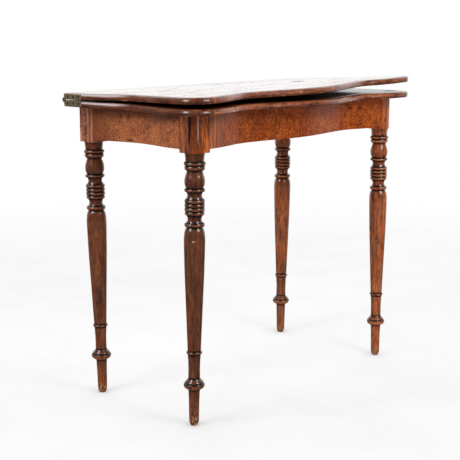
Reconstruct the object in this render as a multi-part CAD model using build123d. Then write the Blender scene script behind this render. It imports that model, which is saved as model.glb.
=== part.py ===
from build123d import *
import math
import os

# Games table with a top that turns and unfolds. Origin on the floor under the
# middle of the closed top; +X along the table, +Y to its back, +Z up.
# All lengths are in millimetres.

# Stance and legs
leg_spacing_x = 730.0
leg_spacing_y = 333.0
turned_height = 636.0
post_height = 85.0
post_width = 48.0
front_post_rounding = 20.0
back_post_rounding = 4.0
post_drop = 7.5
back_left_drift = 12.5
front_left_drift = 5.0
front_right_drift = 7.0
neck_length = 3.0
overrun = 12.0

# Turned outline from the floor up: each stretch holds pairs of height, as a
# share of the turned height, and radius, as a share of half the post's width.
# Two pairs are a line, three an arc, more a smooth curve.
leg_stretch_shares = (
    # rounded end of the foot
    ((0.000, 0.310), (0.009, 0.430), (0.024, 0.478)),
    # slender foot
    ((0.024, 0.478), (0.075, 0.500), (0.115, 0.528), (0.1375, 0.556)),
    # rim of the ball
    ((0.1375, 0.556), (0.1412, 0.785), (0.1462, 0.940), (0.1530, 1.008), (0.1590, 0.984),
     (0.1618, 0.890)),
    # shoulder of the ball, above a fine groove
    ((0.1618, 0.890), (0.1655, 0.862), (0.1705, 0.765), (0.1750, 0.640), (0.1800, 0.566)),
    # stem
    ((0.1800, 0.566), (0.214, 0.556), (0.244, 0.578), (0.2705, 0.630)),
    # ankle bead
    ((0.2705, 0.630), (0.2765, 0.755), (0.2825, 0.634)),
    # long swelling taper
    ((0.2825, 0.634), (0.354, 0.706), (0.464, 0.818), (0.574, 0.934), (0.660, 0.996),
     (0.697, 1.010), (0.7185, 0.960), (0.7285, 0.880), (0.7368, 0.752)),
    # lowest bead of the cluster
    ((0.7368, 0.752), (0.7455, 0.966), (0.7542, 0.765)),
    # deep hollow
    ((0.7542, 0.765), (0.7600, 0.684), (0.7668, 0.662), (0.7735, 0.695), (0.7795, 0.800)),
    # four reeded beads
    ((0.7795, 0.800), (0.7865, 0.940), (0.7935, 0.862)),
    ((0.7935, 0.862), (0.8010, 0.968), (0.8085, 0.872)),
    ((0.8085, 0.872), (0.8155, 0.964), (0.8225, 0.868)),
    ((0.8225, 0.868), (0.8300, 0.964), (0.8380, 0.812)),
    # hollow below the vase
    ((0.8380, 0.812), (0.8445, 0.722), (0.8510, 0.690), (0.8570, 0.720), (0.8625, 0.800)),
    # bead below the vase
    ((0.8625, 0.800), (0.8690, 0.984), (0.8755, 0.800)),
    # vase
    ((0.8755, 0.800), (0.8840, 0.896), (0.8965, 0.974), (0.9130, 0.925),
     (0.9280, 0.800), (0.9375, 0.748)),
    # pair of thin beads under the neck
    ((0.9375, 0.748), (0.9465, 0.972), (0.9550, 0.880)),
    ((0.9550, 0.880), (0.9620, 1.034), (0.9690, 0.880)),
    # neck flaring to the post
    ((0.9690, 0.880), (0.9850, 0.905), (1.000, 0.960)),
)

# Shrinkage cracks in the front posts, beside the rounded corner
crack_width = 0.7
crack_depth = 2.5
left_crack_length = 62.0
right_crack_length = 34.0

# Rails and their veneers
rail_set_back = 1.5
veneer = 1.2
front_rail_thickness = 24.0
side_rail_thickness = 22.0
back_rail_thickness = 20.0
front_rail_dip = 20.5
front_rail_dip_share = 0.63
front_rail_bow_set_back = 1.0
side_rail_dip = 18.5
tenon_thickness = 10.0
tenon_length = 20.0
tenon_shoulder = 8.0
grain_strip_width = 48.0

# Top: two leaves of one outline
leaf_thickness = 15.0
end_overhang = 39.0
front_overhang = 44.0
back_overhang = 7.0
corner_radius = 50.0
front_bow = 14.0
front_dip = 30.5
front_dip_share = 0.57
end_dip = 17.0
end_dip_share = 0.60
hinge_straight = 70.0
lipping_width = 16.0
joint_past_corner = 3.0
upper_arris = 5.2
lower_arris = 3.8
running_gap = 0.3
closing_gap = 1.6

# The upper leaf is warped: lift of its front edge at the left end, in the
# middle and at the right end
left_lift = 9.4
middle_lift = 14.8
right_lift = 26.0

# Hinges let into the ends of the leaves
plate_length = 62.0
plate_height = 12.6
plate_thickness = 2.2
plate_corner = 4.0
plate_seat_gap = 0.1
lap_gap = 0.1
fold_clearance = 0.25
eye_radius = 6.0
eye_clearance = 0.35
pin_radius = 2.0
pin_running_gap = 0.05
pin_head_radius = 3.2
pin_head_height = 0.7
hinge_screw_share = (0.21, 0.52, 0.83)
hinge_screw_length = 13.0
hinge_screw_radius = 1.4
hinge_head_radius = 2.6
hinge_head_depth = 1.3
screw_sink = 0.25
slot_width = 0.7
slot_depth = 0.7

# Pivot under the lower leaf
bolt_radius = 5.0
bolt_running_gap = 0.08
bolt_head_radius = 11.0
bolt_head_height = 4.0
bolt_tail = 6.0
pivot_rail_thickness = 20.0
pivot_housing = 6.0
plate_iron_length = 92.0
plate_iron_width = 60.0
plate_iron_thickness = 3.0
plate_iron_corner = 8.0
iron_screw_inset = 11.0
iron_screw_length = 9.0
iron_screw_radius = 1.8
iron_head_radius = 3.6
iron_head_depth = 1.8
washer_radius = 15.0
washer_thickness = 2.0
washer_gap = 0.3
nut_width = 19.0
nut_height = 8.0
stop_radius = 10.0
stop_gap = 0.5
stop_drop = 13.0
stop_housing = 8.0
stop_reach = 150.0

# Well for the cards in the left of the frame
well_board = 8.0
well_rise = 14.0
partition_thickness = 11.0
glue_block = 15.0
glue_block_length = 46.0
front_block_shares = (0.20, 0.50, 0.80)
end_block_shares = (0.32, 0.68)

# Places worked out from the sizes above
post_half = post_width / 2
frame_half = leg_spacing_x / 2 + post_half
leaf_half = frame_half + end_overhang
leaf_depth = front_bow + front_overhang + post_width + leg_spacing_y + back_overhang
overall_depth = leaf_depth + fold_clearance + eye_radius
bow_y = -overall_depth / 2
corner_y = bow_y + front_bow
front_face_y = corner_y + front_overhang
front_leg_y = front_face_y + post_half
back_leg_y = front_leg_y + leg_spacing_y
back_face_y = back_leg_y + post_half
leaf_back_y = back_face_y + back_overhang
inner_post_x = frame_half - post_width
front_post_back_y = front_face_y + post_width
back_post_front_y = back_face_y - post_width

frame_top = turned_height + post_height
rail_bottom = turned_height + post_drop
rail_height = frame_top - rail_bottom
lower_bottom = frame_top + running_gap
lower_top = lower_bottom + leaf_thickness
fold_z = lower_top + closing_gap / 2
fold_y = leaf_back_y + fold_clearance
highest_lift = max(left_lift, middle_lift, right_lift)
column_top = lower_top + closing_gap + leaf_thickness + highest_lift + overrun

# The pivot stands on the diagonal, so that a quarter turn brings the fold line
# over the middle of the frame and centres the open top on it.
frame_middle_y = (front_leg_y + back_leg_y) / 2
pivot_x = (leaf_back_y - frame_middle_y) / 2
pivot_y = frame_middle_y + pivot_x

back_rail_inner_y = back_face_y - rail_set_back - back_rail_thickness
stop_offset_y = back_rail_inner_y - pivot_y - stop_radius - stop_gap
pivot_rail_width = 2 * (stop_offset_y - stop_radius - stop_gap)
well_floor = rail_bottom + well_rise + well_board


def box_between(low, high):
    """A box given by two opposite corners."""
    size = [b - a for a, b in zip(low, high)]
    middle = [(a + b) / 2 for a, b in zip(low, high)]
    return Pos(*middle) * Box(*size)


def upright(x, y, z, radius, height):
    """A cylinder standing on z."""
    return Pos(x, y, z + height / 2) * Cylinder(radius, height)


def largest(shape):
    """The largest solid of a shape."""
    return max(shape.solids(), key=lambda solid: solid.volume)


def save(name, shape):
    """Write one sub-part."""
    solids = shape.solids()
    body = solids[0] if len(solids) == 1 else Compound(children=solids)
    body.label = name
    export_step(body, f"parts/{name}.step")


# Legs

def stretch_edge(stretch):
    """One stretch of the turned outline, as radius along X and height along Z."""
    points = [(radius * post_half, 0, height * turned_height) for height, radius in stretch]
    if len(points) == 2:
        return Line(*points)
    if len(points) == 3:
        return ThreePointArc(*points)
    return Spline(points)


def turned_leg():
    """The turned part, standing at the origin, with a short neck to enter the post
    and a stub below the floor that is sawn off level."""
    edges = [stretch_edge(stretch) for stretch in leg_stretch_shares]
    foot_radius = leg_stretch_shares[0][0][1] * post_half
    top_radius = leg_stretch_shares[-1][-1][1] * post_half
    neck_top = turned_height + neck_length
    edges.append(Line((top_radius, 0, turned_height), (top_radius, 0, neck_top)))
    edges.append(Line((top_radius, 0, neck_top), (0, 0, neck_top)))
    edges.append(Line((0, 0, neck_top), (0, 0, -overrun)))
    edges.append(Line((0, 0, -overrun), (foot_radius, 0, -overrun)))
    edges.append(Line((foot_radius, 0, -overrun), (foot_radius, 0, 0)))
    return revolve(Face(Wire(edges)), Axis.Z)


def post(x_side, y_side):
    """The square post of one leg; x_side and y_side are the outward signs."""
    body = Pos(0, 0, turned_height + post_height / 2) * Box(post_width, post_width, post_height)
    rounding = front_post_rounding if y_side < 0 else back_post_rounding
    uprights = body.edges().filter_by(Axis.Z)
    outer = max(uprights, key=lambda e: e.center().X * x_side + e.center().Y * y_side)
    return fillet(outer, rounding)


def cracked(body, x_side):
    """Open the shrinkage crack beside the rounded corner of a front post."""
    tangent = post_half - front_post_rounding
    if x_side < 0:
        low = (-post_half - crack_depth, -tangent, frame_top - left_crack_length)
        high = (-post_half + crack_depth, -tangent + crack_width, frame_top + overrun)
    else:
        low = (tangent - crack_width, -post_half - crack_depth, frame_top - right_crack_length)
        high = (tangent, -post_half + crack_depth, frame_top + overrun)
    return body - box_between(low, high)


def leg(x_side, y_side, drift_x, drift_y):
    """A leg with its post in place; the drifts move its foot along X and Y."""
    lean_x = math.degrees(math.atan(drift_x / turned_height))
    lean_y = math.degrees(math.atan(drift_y / turned_height))
    lean = Pos(0, 0, turned_height) * Rot(lean_y, -lean_x, 0) * Pos(0, 0, -turned_height)
    turned = lean * turned_leg()
    body = turned + post(x_side, y_side)
    if y_side < 0:
        body = cracked(body, x_side)
    reach = leg_spacing_y
    below_floor = box_between((-reach, -reach, -turned_height), (reach, reach, 0))
    line_y = front_leg_y if y_side < 0 else back_leg_y
    return Pos(x_side * leg_spacing_x / 2, line_y, 0) * (body - below_floor)


# Rails

def front_rail_line(set_back):
    """The serpentine of the front, from the left post to the right, at one depth."""
    end_y = front_face_y + rail_set_back + set_back
    dip_y = end_y + front_rail_dip
    bow = (0, front_face_y + front_rail_bow_set_back + set_back)
    dip_x = inner_post_x * front_rail_dip_share
    points = [(-inner_post_x, end_y), (-dip_x, dip_y), bow, (dip_x, dip_y), (inner_post_x, end_y)]
    return Spline(points, tangents=[(1, 0), (1, 0)])


def side_rail_line(set_back):
    """The hollow line of the right-hand side, from front to back, at one depth."""
    end_x = frame_half - rail_set_back - set_back
    middle_y = (front_post_back_y + back_post_front_y) / 2
    points = [(end_x, front_post_back_y), (end_x - side_rail_dip, middle_y), (end_x, back_post_front_y)]
    return Spline(points, tangents=[(0, 1), (0, 1)])


def between_lines(line, near, far, height):
    """A board whose two faces follow one line at two depths."""
    outer = line(near)
    inner = line(far)
    wire = Wire([outer, Line(outer @ 1, inner @ 1), inner, Line(inner @ 0, outer @ 0)])
    return Pos(0, 0, rail_bottom) * extrude(Face(wire), height, dir=(0, 0, 1))


def tenon_x(x_side, middle_y):
    """A tenon along X that enters the post at one end of a long rail."""
    low_x, high_x = sorted((x_side * inner_post_x, x_side * (inner_post_x + tenon_length)))
    low = (low_x, middle_y - tenon_thickness / 2, rail_bottom + tenon_shoulder)
    high = (high_x, middle_y + tenon_thickness / 2, frame_top - tenon_shoulder)
    return box_between(low, high)


def tenon_y(low_y, high_y):
    """A tenon along Y at one end of the right-hand side rail."""
    middle_x = frame_half - rail_set_back - veneer - side_rail_thickness / 2
    low = (middle_x - tenon_thickness / 2, low_y, rail_bottom + tenon_shoulder)
    high = (middle_x + tenon_thickness / 2, high_y, frame_top - tenon_shoulder)
    return box_between(low, high)


def front_rail():
    """The sawn serpentine rail with a tenon at each end."""
    body = between_lines(front_rail_line, veneer, veneer + front_rail_thickness, rail_height)
    middle_y = front_face_y + rail_set_back + veneer + front_rail_thickness / 2
    return body + tenon_x(-1, middle_y) + tenon_x(1, middle_y)


def side_rail():
    """The hollow right-hand rail with its tenons."""
    body = between_lines(side_rail_line, veneer, veneer + side_rail_thickness, rail_height)
    front = tenon_y(front_post_back_y - tenon_length, front_post_back_y)
    back = tenon_y(back_post_front_y, back_post_front_y + tenon_length)
    return body + front + back


def back_rail():
    """The straight rail across the back with its tenons."""
    outer_y = back_face_y - rail_set_back
    body = box_between((-inner_post_x, back_rail_inner_y, rail_bottom), (inner_post_x, outer_y, frame_top))
    middle_y = (back_rail_inner_y + outer_y) / 2
    return body + tenon_x(-1, middle_y) + tenon_x(1, middle_y)


def pivot_rail():
    """The flat board across the frame that carries the pivot."""
    front_end = front_face_y + rail_set_back + veneer + front_rail_thickness - pivot_housing
    low = (pivot_x - pivot_rail_width / 2, front_end, frame_top - pivot_rail_thickness)
    high = (pivot_x + pivot_rail_width / 2, back_rail_inner_y + pivot_housing, frame_top)
    return box_between(low, high)


# Leaves

def leaf_face(inset):
    """The outline of a leaf, drawn in by inset on all four sides."""
    half = leaf_half - inset
    front_y = corner_y + inset
    back_y = leaf_back_y - inset
    radius = corner_radius - inset
    turn_x = half - radius
    turn_y = front_y + radius
    dip_x = leaf_half * front_dip_share
    dip_y = front_y + front_dip
    bow = (0, bow_y + inset)
    straight_y = leaf_back_y - hinge_straight
    end_dip_y = corner_y + (leaf_back_y - corner_y) * end_dip_share
    end_x = half - end_dip
    front_points = [(-turn_x, front_y), (-dip_x, dip_y), bow, (dip_x, dip_y), (turn_x, front_y)]
    edges = [
        Spline(front_points, tangents=[(1, 0), (1, 0)]),
        CenterArc((turn_x, turn_y), radius, 270, 90),
        Spline([(half, turn_y), (end_x, end_dip_y), (half, straight_y)], tangents=[(0, 1), (0, 1)]),
        Line((half, straight_y), (half, back_y)),
        Line((half, back_y), (-half, back_y)),
        Line((-half, back_y), (-half, straight_y)),
        Spline([(-half, straight_y), (-end_x, end_dip_y), (-half, turn_y)], tangents=[(0, -1), (0, -1)]),
        CenterArc((-turn_x, turn_y), radius, 180, 90),
    ]
    return Face(Wire(edges))


def leaf_column(inset):
    """The outline of a leaf carried up through both leaves."""
    base = Pos(0, 0, rail_bottom) * leaf_face(inset)
    return extrude(base, column_top - rail_bottom, dir=(0, 0, 1))


def flat_slab(low, high):
    """A level slab between two heights, as large as the top with room to spare."""
    reach = leaf_half + overrun
    return box_between((-reach, -leaf_depth, low), (reach, leaf_depth, high))


def lift_angle(lift):
    """The tilt of a section whose front edge is lifted."""
    return math.atan(lift / leaf_depth)


def warped_section(x, lift, low, high):
    """A section of the warped leaf: low and high are heights above the fold line."""
    tilt = lift_angle(lift)
    corners = [(-overrun, low), (leaf_depth + overrun, low), (leaf_depth + overrun, high), (-overrun, high)]
    points = []
    for along, above in corners:
        y = fold_y - along * math.cos(tilt) + above * math.sin(tilt)
        z = fold_z + along * math.sin(tilt) + above * math.cos(tilt)
        points.append((x, y, z))
    return Wire.make_polygon(points, close=True)


def warped_slab(low, high):
    """The warped leaf's slab between two heights above the fold line."""
    reach = leaf_half + overrun
    lifts = ((-reach, left_lift), (0, middle_lift), (reach, right_lift))
    return Solid.make_loft([warped_section(x, lift, low, high) for x, lift in lifts])


def round_outer_edges(blank):
    """Round the upper and lower arris of a leaf, but not along its back."""
    outer = [e for e in blank.edges() if (e @ 0.5).Y < leaf_back_y - fold_clearance]
    outer = [e for e in outer if abs((e @ 0).X - (e @ 1).X) + abs((e @ 0).Y - (e @ 1).Y) > leaf_thickness]

    def is_upper(edge):
        middle = edge @ 0.5
        twins = [e @ 0.5 for e in outer]
        twins = [p for p in twins if abs(p.X - middle.X) + abs(p.Y - middle.Y) < leaf_thickness / 2]
        return middle.Z > sum(p.Z for p in twins) / len(twins)

    upper = [e for e in outer if is_upper(e)]
    lower = [e @ 0.5 for e in outer if not is_upper(e)]
    body = fillet(upper, upper_arris)
    under = [e for e in body.edges() if any(((e @ 0.5) - p).length < running_gap for p in lower)]
    return fillet(under, lower_arris)


def lipping_pieces(blank):
    """The lipping round a leaf: left end, right end, front and back."""
    ring = blank - leaf_column(lipping_width)
    joint_x = leaf_half - corner_radius - joint_past_corner
    middle_y = (corner_y + leaf_back_y) / 2
    reach = leaf_half + overrun
    low = rail_bottom
    zones = {
        "left_end": ((-reach, -leaf_depth, low), (-joint_x, leaf_depth, column_top)),
        "right_end": ((joint_x, -leaf_depth, low), (reach, leaf_depth, column_top)),
        "front": ((-joint_x, -leaf_depth, low), (joint_x, middle_y, column_top)),
        "back": ((-joint_x, middle_y, low), (joint_x, leaf_depth, column_top)),
    }
    return {name: ring & box_between(low, high) for name, (low, high) in zones.items()}


# Hinges

def hinge_place(up_side, face_side):
    """The frame of one plate: local X runs forward from the fold line and local Z
    inwards from the end of the leaf. The upper plates follow the warp of their leaf."""
    lift = 0
    if up_side > 0:
        lift = left_lift if face_side < 0 else right_lift
    tilt = math.degrees(lift_angle(lift))
    axes = Plane(origin=(0, 0, 0), x_dir=(0, -1, 0), z_dir=(-face_side, 0, 0)).location
    return Location((face_side * leaf_half, fold_y, fold_z)) * Rot(-tilt, 0, 0) * axes


def plate_blank(up_side, face_side):
    """One hinge plate in its own frame: up_side is +1 for the upper leaf's."""
    rise = up_side * face_side
    low, high = sorted((rise * closing_gap / 2, rise * (closing_gap / 2 + plate_height)))
    body = box_between((fold_clearance, low, 0), (plate_length, high, plate_thickness))
    if up_side < 0:
        corner = body.edges().filter_by(Axis.Z).sort_by(lambda e: e.center().X - rise * e.center().Y)[0]
        body = fillet(corner, plate_corner)
    layer = plate_thickness / 2 - lap_gap / 2
    outer_eye = upright(0, 0, 0, eye_radius, layer)
    inner_eye = upright(0, 0, plate_thickness - layer, eye_radius, layer)
    clear = eye_radius + eye_clearance
    if up_side > 0:
        body = body - upright(0, 0, layer, clear, plate_thickness)
        return body + outer_eye - upright(0, 0, -overrun, pin_radius + pin_running_gap, 2 * overrun)
    body = body - upright(0, 0, -plate_thickness, clear, 2 * plate_thickness - layer)
    return body + inner_eye - upright(0, 0, -overrun, pin_radius, 2 * overrun)


def screw(head_radius, head_depth, shank_radius, length):
    """A countersunk screw entering along +Z from its head at zero."""
    tip = shank_radius / 2
    points = [(0, 0), (head_radius, 0), (shank_radius, head_depth), (shank_radius, length - head_depth),
              (tip, length), (0, length)]
    outline = Wire.make_polygon([(r, 0, z) for r, z in points], close=True)
    return revolve(Face(outline), Axis.Z)


def slotted(body, head_radius):
    """The screw with its driving slot."""
    half = slot_width / 2
    return body - box_between((-head_radius, -half, -slot_depth), (head_radius, half, slot_depth))


def hinge_screw_places(up_side, face_side):
    """The screws of one plate, in the plate's frame."""
    middle = up_side * face_side * (closing_gap + plate_height) / 2
    return [Pos(plate_length * share, middle, 0) for share in hinge_screw_share]


def hinge_screw_body():
    """A hinge screw with its head at zero."""
    return screw(hinge_head_radius, hinge_head_depth, hinge_screw_radius, hinge_screw_length)


def hinge_screw_hole():
    """The hole of a hinge screw, which lies a little below the face of the plate."""
    mouth = upright(0, 0, -overrun, hinge_head_radius, overrun + screw_sink)
    return mouth + Pos(0, 0, screw_sink) * hinge_screw_body()


def plate_seat(up_side, face_side):
    """The rebate of one plate, in the plate's frame."""
    rise = up_side * face_side
    low, high = sorted((-rise * overrun, rise * (closing_gap / 2 + plate_height + plate_seat_gap)))
    far_end = (plate_length + plate_seat_gap, high, plate_thickness + plate_seat_gap)
    return box_between((-overrun, low, -overrun), far_end)


def hinge_cutters(up_side, face_side):
    """What a hinge takes out of the end lipping."""
    place = hinge_place(up_side, face_side)
    cutter = plate_seat(up_side, face_side)
    for spot in hinge_screw_places(up_side, face_side):
        cutter = cutter + spot * hinge_screw_hole()
    return place * cutter


def hinge_plate(up_side, face_side):
    """A finished plate with its countersunk holes."""
    body = plate_blank(up_side, face_side)
    for spot in hinge_screw_places(up_side, face_side):
        body = body - spot * hinge_screw_hole()
    return hinge_place(up_side, face_side) * body


def hinge_screws(up_side):
    """The screws of both plates of one leaf."""
    one = Pos(0, 0, screw_sink) * slotted(hinge_screw_body(), hinge_head_radius)
    bodies = []
    for face_side in (-1, 1):
        for spot in hinge_screw_places(up_side, face_side):
            bodies.append(hinge_place(up_side, face_side) * spot * one)
    return Compound(children=[b.solids()[0] for b in bodies])


def hinge_pin(face_side):
    """The rivet of one hinge, with a low head on the outside."""
    shank = upright(0, 0, 0, pin_radius, plate_thickness)
    head = upright(0, 0, -pin_head_height, pin_head_radius, pin_head_height)
    rim = head.edges().filter_by(GeomType.CIRCLE).sort_by(Axis.Z)[0]
    head = fillet(rim, pin_head_height / 2)
    return hinge_place(-1, face_side) * (shank + head)


# Pivot

def iron_screw_places():
    """The four screws of the pivot iron."""
    reach_x = plate_iron_length / 2 - iron_screw_inset
    reach_y = plate_iron_width / 2 - iron_screw_inset
    signs = [(i, j) for i in (-1, 1) for j in (-1, 1)]
    return [Pos(pivot_x + i * reach_x, pivot_y + j * reach_y, lower_bottom) for i, j in signs]


def iron_screw_body():
    """A screw of the pivot iron, entering upwards."""
    return screw(iron_head_radius, iron_head_depth, iron_screw_radius, iron_screw_length)


def pivot_iron_blank():
    """The iron let into the underside of the lower leaf."""
    body = Pos(pivot_x, pivot_y, lower_bottom + plate_iron_thickness / 2) * Box(
        plate_iron_length, plate_iron_width, plate_iron_thickness)
    return fillet(body.edges().filter_by(Axis.Z), plate_iron_corner)


def bolt_head():
    """The head of the pivot bolt, above the iron."""
    iron_top = lower_bottom + plate_iron_thickness
    return upright(pivot_x, pivot_y, iron_top, bolt_head_radius, bolt_head_height)


nut_bottom = frame_top - pivot_rail_thickness - washer_gap - washer_thickness - nut_height
bolt_bottom = nut_bottom - bolt_tail


def pivot_bolt():
    """The bolt the top turns on."""
    iron_top = lower_bottom + plate_iron_thickness
    shank = upright(pivot_x, pivot_y, bolt_bottom, bolt_radius, iron_top - bolt_bottom)
    return shank + bolt_head()


def stop_peg():
    """The peg under the lower leaf that meets a rail at each end of the turn."""
    x = pivot_x - stop_reach
    y = pivot_y + stop_offset_y
    return upright(x, y, frame_top - stop_drop, stop_radius, stop_drop + running_gap + stop_housing)


# Build the frame

legs = {
    "front_left_leg": leg(-1, -1, 0, front_left_drift),
    "front_right_leg": leg(1, -1, 0, -front_right_drift),
    "back_left_leg": leg(-1, 1, back_left_drift, 0),
    "back_right_leg": leg(1, 1, 0, 0),
}
board = pivot_rail()
right_rail = side_rail()
left_rail = mirror(right_rail, Plane.YZ)
front = front_rail()
back = back_rail()
for name, body in legs.items():
    for rail in (front, back, right_rail, left_rail):
        body = body - rail
    save(name, body)

save("front_rail", front - board)
save("back_rail", back - board)
save("left_rail", left_rail)
save("right_rail", right_rail)

front_skin = between_lines(front_rail_line, 0, veneer, rail_height)
strip_edge_x = -inner_post_x + grain_strip_width
strip_zone = box_between((-leaf_half, bow_y, 0), (strip_edge_x, back_face_y, frame_top + overrun))
save("front_strip_veneer", front_skin & strip_zone)
save("front_burr_veneer", front_skin - strip_zone)
right_skin = between_lines(side_rail_line, 0, veneer, rail_height)
save("right_side_veneer", right_skin)
save("left_side_veneer", mirror(right_skin, Plane.YZ))

pivot_hole = upright(pivot_x, pivot_y, rail_bottom, bolt_radius + bolt_running_gap, rail_height + overrun)
save("pivot_rail", board - pivot_hole)

# Card well: a bottom scribed to the rails, a partition under the pivot rail and
# rubbed glue blocks beneath
scribe = [front, back, left_rail, legs["front_left_leg"], legs["back_left_leg"]]
partition_x = pivot_x - pivot_rail_width / 2
partition_far_x = partition_x + partition_thickness
well_box = box_between((-frame_half, front_face_y, well_floor - well_board),
                       (partition_far_x, back_face_y, well_floor))
for piece in scribe:
    well_box = well_box - piece
well_bottom = largest(well_box)
save("well_bottom", well_bottom)

partition_top = frame_top - pivot_rail_thickness
partition = box_between((partition_x, front_face_y, well_floor),
                        (partition_far_x, back_rail_inner_y, partition_top))
partition = max((partition - front).solids(), key=lambda solid: solid.center().Y)
save("well_partition", partition)


def glue_blocks():
    """Rubbed blocks under the well bottom, scribed to the rails behind them."""
    span_x = partition_x + inner_post_x
    span_y = back_post_front_y - front_post_back_y
    top = well_floor - well_board
    bottom = top - well_rise
    blocks = []
    for share in front_block_shares:
        x = -inner_post_x + span_x * share
        near = (x - glue_block_length / 2, back_rail_inner_y - glue_block, bottom)
        blocks.append(box_between(near, (x + glue_block_length / 2, back_rail_inner_y, top)))
        blocks.append(scribed_front_block(x, bottom, top))
    for share in end_block_shares:
        y = front_post_back_y + span_y * share
        blocks.append(scribed_end_block(y, bottom, top))
    return Compound(children=[largest(b) for b in blocks])


def scribed_front_block(x, bottom, top):
    """A block against the curved back of the front rail."""
    half = glue_block_length / 2
    band = between_lines(front_rail_line, veneer + front_rail_thickness,
                         veneer + front_rail_thickness + glue_block, rail_height)
    return band & box_between((x - half, -leaf_depth, bottom), (x + half, leaf_depth, top))


def scribed_end_block(y, bottom, top):
    """A block against the hollow inside of the left rail."""
    half = glue_block_length / 2
    band = between_lines(side_rail_line, veneer + side_rail_thickness,
                         veneer + side_rail_thickness + glue_block, rail_height)
    return mirror(band, Plane.YZ) & box_between((-leaf_half, y - half, bottom), (0, y + half, top))


save("well_glue_blocks", glue_blocks())

# Build the lower leaf

lower_blank = round_outer_edges(leaf_column(0) & flat_slab(lower_bottom, lower_top))
lower_lipping = lipping_pieces(lower_blank)
for name, face_side in (("left_end", -1), ("right_end", 1)):
    lower_lipping[name] = lower_lipping[name] - hinge_cutters(-1, face_side)
for name, body in lower_lipping.items():
    save(f"lower_leaf_{name}_lipping", body)

iron = pivot_iron_blank()
bolt = pivot_bolt()
peg = stop_peg()
lower_core = leaf_column(lipping_width) & flat_slab(lower_bottom, lower_top - veneer)
lower_core = lower_core - iron - bolt_head() - peg
for place in iron_screw_places():
    lower_core = lower_core - place * iron_screw_body()
    iron = iron - place * iron_screw_body()
iron = iron - upright(pivot_x, pivot_y, bolt_bottom, bolt_radius, post_height)
save("lower_leaf_core", lower_core)
save("lower_leaf_playing_veneer", leaf_column(lipping_width) & flat_slab(lower_top - veneer, lower_top))
save("pivot_iron", iron)
save("pivot_bolt", bolt)
save("turn_stop_peg", peg)

iron_screws = [place * slotted(iron_screw_body(), iron_head_radius) for place in iron_screw_places()]
save("pivot_iron_screws", Compound(children=[s.solids()[0] for s in iron_screws]))
washer_bottom = nut_bottom + nut_height
washer = upright(pivot_x, pivot_y, washer_bottom, washer_radius, washer_thickness)
save("pivot_washer", washer - upright(pivot_x, pivot_y, washer_bottom, bolt_radius, washer_thickness))
nut = Pos(pivot_x, pivot_y, nut_bottom + nut_height / 2) * Box(nut_width, nut_width, nut_height)
save("pivot_nut", nut - upright(pivot_x, pivot_y, nut_bottom, bolt_radius, nut_height))

# Build the upper leaf

upper_low = closing_gap / 2
upper_high = upper_low + leaf_thickness
upper_blank = round_outer_edges(leaf_column(0) & warped_slab(upper_low, upper_high))
upper_lipping = lipping_pieces(upper_blank)
for name, face_side in (("left_end", -1), ("right_end", 1)):
    upper_lipping[name] = upper_lipping[name] - hinge_cutters(1, face_side)
for name, body in upper_lipping.items():
    save(f"upper_leaf_{name}_lipping", body)
field = leaf_column(lipping_width)
save("upper_leaf_core", field & warped_slab(upper_low + veneer, upper_high - veneer))
save("upper_leaf_playing_veneer", field & warped_slab(upper_low, upper_low + veneer))
save("upper_leaf_top_veneer", field & warped_slab(upper_high - veneer, upper_high))

# Build the hinges

for name, face_side in (("left", -1), ("right", 1)):
    save(f"{name}_hinge_lower_plate", hinge_plate(-1, face_side))
    save(f"{name}_hinge_upper_plate", hinge_plate(1, face_side))
    save(f"{name}_hinge_pin", hinge_pin(face_side))
save("lower_hinge_screws", hinge_screws(-1))
save("upper_hinge_screws", hinge_screws(1))
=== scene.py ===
"""Looks of the games table: finishes with some painted highlights, sheen and shade, small marks of age,
plain studio and camera.
"""
import math

import bpy
from bpy.props import FloatProperty, FloatVectorProperty, PointerProperty
from mathutils import Matrix, Vector


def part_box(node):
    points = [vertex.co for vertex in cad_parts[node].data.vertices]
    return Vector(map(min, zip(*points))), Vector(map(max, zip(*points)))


bl_info = {
    "name": "Games table finishes",
    "version": (1, 0, 0),
    "blender": (4, 5, 0),
    "location": "View3D > Sidebar > Games table",
    "description": "Finishes, marks of age and studio for the games table",
    "category": "Material",
}

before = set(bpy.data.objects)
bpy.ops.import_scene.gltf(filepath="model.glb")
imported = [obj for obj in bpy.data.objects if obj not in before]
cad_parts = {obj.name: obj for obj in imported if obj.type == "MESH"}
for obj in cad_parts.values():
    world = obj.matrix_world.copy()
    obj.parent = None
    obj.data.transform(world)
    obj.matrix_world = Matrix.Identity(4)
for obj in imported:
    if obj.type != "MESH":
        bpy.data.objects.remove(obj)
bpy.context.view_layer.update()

# Boxes read from the frame: lowest and highest corner of a piece, in metres
LEFT_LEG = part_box("front_left_leg")
RIGHT_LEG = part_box("front_right_leg")
BACK_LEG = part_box("back_left_leg")
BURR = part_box("front_burr_veneer")
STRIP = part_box("front_strip_veneer")
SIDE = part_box("left_side_veneer")
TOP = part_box("upper_leaf_top_veneer")
LOWER_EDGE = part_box("lower_leaf_front_lipping")
UPPER_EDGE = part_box("upper_leaf_front_lipping")
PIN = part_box("left_hinge_pin")

LOW, HIGH = 0, 1
FOLD = (PIN[LOW] + PIN[HIGH]) / 2
JOINT_X = LOWER_EDGE[HIGH].x
LEAF_THICKNESS = LOWER_EDGE[HIGH].z - LOWER_EDGE[LOW].z
# Underside of the upper leaf at the fold, as far above the fold as the lower leaf is beneath it
UPPER_UNDERSIDE = 2 * FOLD.z - LOWER_EDGE[HIGH].z
# The post's square part begins this far below the rail's lower edge
POST_DROP = 0.0075
POST_FOOT = BURR[LOW].z - POST_DROP
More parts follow.
